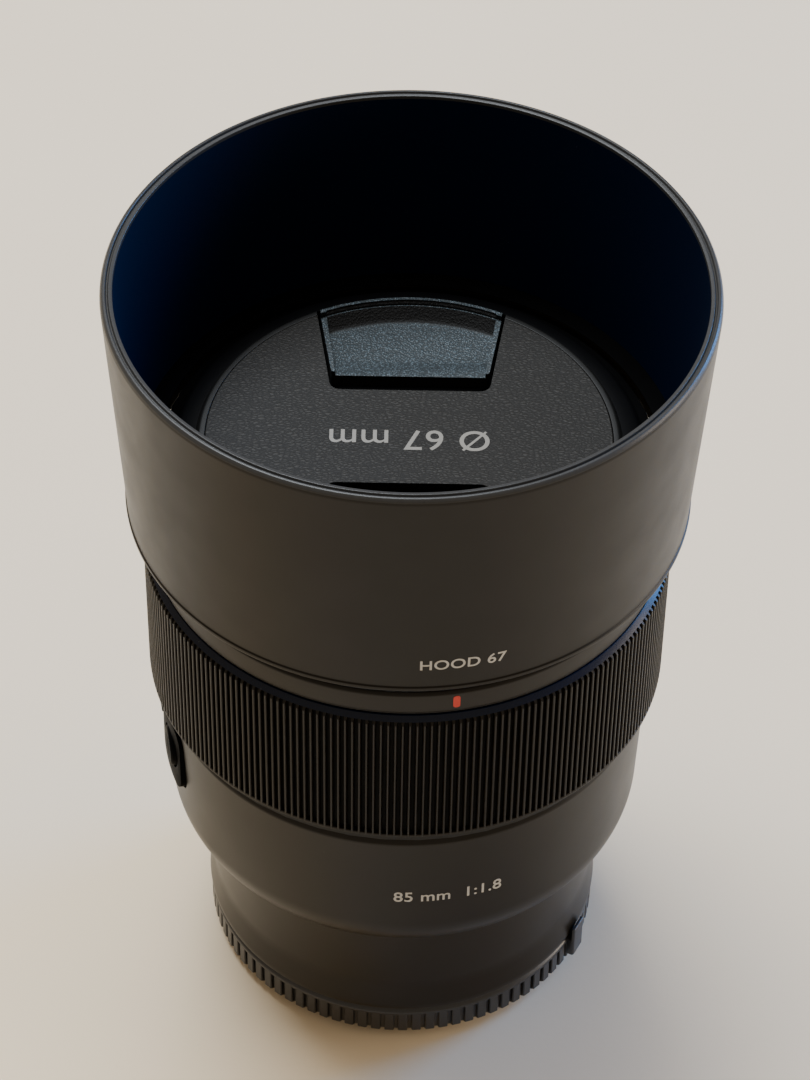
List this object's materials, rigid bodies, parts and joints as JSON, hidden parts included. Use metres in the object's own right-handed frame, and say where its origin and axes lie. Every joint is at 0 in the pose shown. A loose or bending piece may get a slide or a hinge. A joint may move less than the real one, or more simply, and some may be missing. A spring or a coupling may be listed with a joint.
{
  "type": "prime camera lens",
  "caption": "Short telephoto prime camera lens standing on its rear cap, with a tapered hood and a pinch-type front cap fitted.",
  "frame": {"origin": "centre of the rear cap's underside, on the optical axis, where the lens stands on a table", "axes": "+Z along the optical axis from the mount to the front glass; -Y towards the index marks (top of the lens on a camera); -X towards the switch panel (left of the lens seen from behind the camera)"},
  "size_m": [0.0864, 0.0864, 0.1315],
  "materials": {
    "rear_cap": "satin black moulded plastic",
    "mount_metal": "turned and plated metal",
    "screw_steel": "plated steel",
    "contact_plastic": "black moulded plastic, gold contacts drawn on it",
    "baffle_black": "matte black",
    "barrel_black": "fine satin black anodised alloy",
    "circuit_board": "green printed circuit board",
    "gloss_black": "gloss black",
    "button_black": "satin black",
    "slider_black": "satin black",
    "spring_steel": "spring wire",
    "focus_ring_black": "satin black, finely ribbed",
    "encoder_black": "black",
    "inner_alloy": "dark anodised",
    "front_ring_black": "satin black",
    "bezel_black": "satin black",
    "hood_black": "satin black outside, deep matte black inside",
    "cap_black": "leather-like grained black",
    "cap_back_black": "black",
    "latch_black": "finely speckled black",
    "optical_glass": "polished, coated",
    "cell_black": "matte black",
    "carriage_black": "matte black",
    "iris_black": "matte black",
    "blade_black": "matte black coated steel",
    "motor_steel": "plated steel can",
    "rod_steel": "ground steel",
    "yoke_steel": "soft magnetic steel",
    "copper_wire": "enamelled copper winding"
  },
  "bodies": {
    "lens_barrel": {"mount_flange": "mount_metal", "mount_screw_1": "screw_steel", "mount_screw_2": "screw_steel", "mount_screw_3": "screw_steel", "mount_screw_4": "screw_steel", "contact_block": "contact_plastic", "rear_baffle": "baffle_black", "tail_barrel": "barrel_black", "main_board": "circuit_board", "main_barrel": "barrel_black", "switch_panel": "gloss_black", "button_spring": "spring_steel", "switch_board": "circuit_board", "inner_barrel": "inner_alloy", "index_ring": "barrel_black", "front_ring": "front_ring_black", "name_bezel": "bezel_black", "front_group_cell": "cell_black", "rear_group_cell": "cell_black", "iris_base": "iris_black", "iris_cover": "iris_black", "iris_motor": "motor_steel", "guide_rod_1": "rod_steel", "guide_rod_2": "rod_steel", "motor_yoke_1": "yoke_steel", "motor_yoke_2": "yoke_steel", "lens_element_1": "optical_glass", "lens_element_2": "optical_glass", "lens_element_3": "optical_glass", "lens_element_4": "optical_glass", "lens_element_6": "optical_glass", "lens_element_7": "optical_glass", "lens_element_8": "optical_glass", "lens_element_9": "optical_glass"},
    "rear_cap": {"rear_cap": "rear_cap"},
    "focus_ring": {"focus_ring": "focus_ring_black", "encoder_ring": "encoder_black"},
    "lens_hood": {"lens_hood": "hood_black"},
    "front_cap": {"front_cap": "cap_black", "cap_back_plate": "cap_back_black", "cap_spring_right": "spring_steel", "cap_spring_left": "spring_steel"},
    "cap_latch_far": {"cap_latch_far": "latch_black"},
    "cap_latch_near": {"cap_latch_near": "latch_black"},
    "focus_hold_button": {"focus_hold_button": "button_black"},
    "af_mf_slider": {"af_mf_slider": "slider_black"},
    "focus_carriage": {"focus_carriage": "carriage_black", "lens_element_5": "optical_glass", "motor_coil_1": "copper_wire", "motor_coil_2": "copper_wire"},
    "iris_drive": {"iris_drive_ring": "iris_black"},
    "iris_blade_1": {"iris_blade_1": "blade_black"},
    "iris_blade_2": {"iris_blade_2": "blade_black"},
    "iris_blade_3": {"iris_blade_3": "blade_black"},
    "iris_blade_4": {"iris_blade_4": "blade_black"},
    "iris_blade_5": {"iris_blade_5": "blade_black"},
    "iris_blade_6": {"iris_blade_6": "blade_black"},
    "iris_blade_7": {"iris_blade_7": "blade_black"},
    "iris_blade_8": {"iris_blade_8": "blade_black"},
    "iris_blade_9": {"iris_blade_9": "blade_black"}
  },
  "joints": [
    {"name": "focus_ring_turn", "type": "hinge", "parent": "lens_barrel", "child": "focus_ring", "pos_m": [0, 0, 0.071], "axis": [0, 0, 1], "continuous": true},
    {"name": "focus_travel", "type": "slide", "parent": "lens_barrel", "child": "focus_carriage", "axis": [0, 0, 1], "range_m": [0, 0.006]},
    {"name": "hood_twist", "type": "hinge", "parent": "lens_barrel", "child": "lens_hood", "pos_m": [0, 0, 0.0956], "axis": [0, 0, 1], "range_deg": [0, 60]},
    {"name": "rear_cap_twist", "type": "hinge", "parent": "lens_barrel", "child": "rear_cap", "pos_m": [0, 0, 0.006], "axis": [0, 0, -1], "range_deg": [0, 60]},
    {"name": "front_cap_lift", "type": "slide", "parent": "lens_barrel", "child": "front_cap", "axis": [0, 0, 1], "range_m": [0, 0.04]},
    {"name": "latch_far_press", "type": "slide", "parent": "front_cap", "child": "cap_latch_far", "axis": [-0.1925, -0.9813, 0], "range_m": [0, 0.0024], "stiffness_N_per_m": 400},
    {"name": "latch_near_press", "type": "slide", "parent": "front_cap", "child": "cap_latch_near", "axis": [0.1925, 0.9813, 0], "range_m": [0, 0.0024], "stiffness_N_per_m": 400},
    {"name": "focus_hold_press", "type": "slide", "parent": "lens_barrel", "child": "focus_hold_button", "axis": [1, 0, 0], "range_m": [0, 0.0008], "stiffness_N_per_m": 400},
    {"name": "af_mf_slide", "type": "slide", "parent": "lens_barrel", "child": "af_mf_slider", "axis": [0, 0, -1], "range_m": [0, 0.003]},
    {"name": "iris_turn", "type": "hinge", "parent": "lens_barrel", "child": "iris_drive", "pos_m": [0, 0, 0.0547], "axis": [0, 0, 1], "range_deg": [0, 24]},
    {"name": "iris_blade_1_turn", "type": "hinge", "parent": "lens_barrel", "child": "iris_blade_1", "pos_m": [0.0265, 0, 0.0555], "axis": [0, 0, 1], "range_deg": [0, 28.8]},
    {"name": "iris_blade_2_turn", "type": "hinge", "parent": "lens_barrel", "child": "iris_blade_2", "pos_m": [0.0203, 0.01703, 0.0555], "axis": [0, 0, 1], "range_deg": [0, 28.8]},
    {"name": "iris_blade_3_turn", "type": "hinge", "parent": "lens_barrel", "child": "iris_blade_3", "pos_m": [0.0046, 0.0261, 0.0555], "axis": [0, 0, 1], "range_deg": [0, 28.8]},
    {"name": "iris_blade_4_turn", "type": "hinge", "parent": "lens_barrel", "child": "iris_blade_4", "pos_m": [-0.01325, 0.02295, 0.0555], "axis": [0, 0, 1], "range_deg": [0, 28.8]},
    {"name": "iris_blade_5_turn", "type": "hinge", "parent": "lens_barrel", "child": "iris_blade_5", "pos_m": [-0.0249, 0.00906, 0.0555], "axis": [0, 0, 1], "range_deg": [0, 28.8]},
    {"name": "iris_blade_6_turn", "type": "hinge", "parent": "lens_barrel", "child": "iris_blade_6", "pos_m": [-0.0249, -0.00906, 0.0555], "axis": [0, 0, 1], "range_deg": [0, 28.8]},
    {"name": "iris_blade_7_turn", "type": "hinge", "parent": "lens_barrel", "child": "iris_blade_7", "pos_m": [-0.01325, -0.02295, 0.0555], "axis": [0, 0, 1], "range_deg": [0, 28.8]},
    {"name": "iris_blade_8_turn", "type": "hinge", "parent": "lens_barrel", "child": "iris_blade_8", "pos_m": [0.0046, -0.0261, 0.0555], "axis": [0, 0, 1], "range_deg": [0, 28.8]},
    {"name": "iris_blade_9_turn", "type": "hinge", "parent": "lens_barrel", "child": "iris_blade_9", "pos_m": [0.0203, -0.01703, 0.0555], "axis": [0, 0, 1], "range_deg": [0, 28.8]}
  ],
  "couplings": [
    {"joint": "iris_blade_1_turn", "follows": "iris_turn", "ratio": 1.2},
    {"joint": "iris_blade_2_turn", "follows": "iris_turn", "ratio": 1.2},
    {"joint": "iris_blade_3_turn", "follows": "iris_turn", "ratio": 1.2},
    {"joint": "iris_blade_4_turn", "follows": "iris_turn", "ratio": 1.2},
    {"joint": "iris_blade_5_turn", "follows": "iris_turn", "ratio": 1.2},
    {"joint": "iris_blade_6_turn", "follows": "iris_turn", "ratio": 1.2},
    {"joint": "iris_blade_7_turn", "follows": "iris_turn", "ratio": 1.2},
    {"joint": "iris_blade_8_turn", "follows": "iris_turn", "ratio": 1.2},
    {"joint": "iris_blade_9_turn", "follows": "iris_turn", "ratio": 1.2}
  ]
}
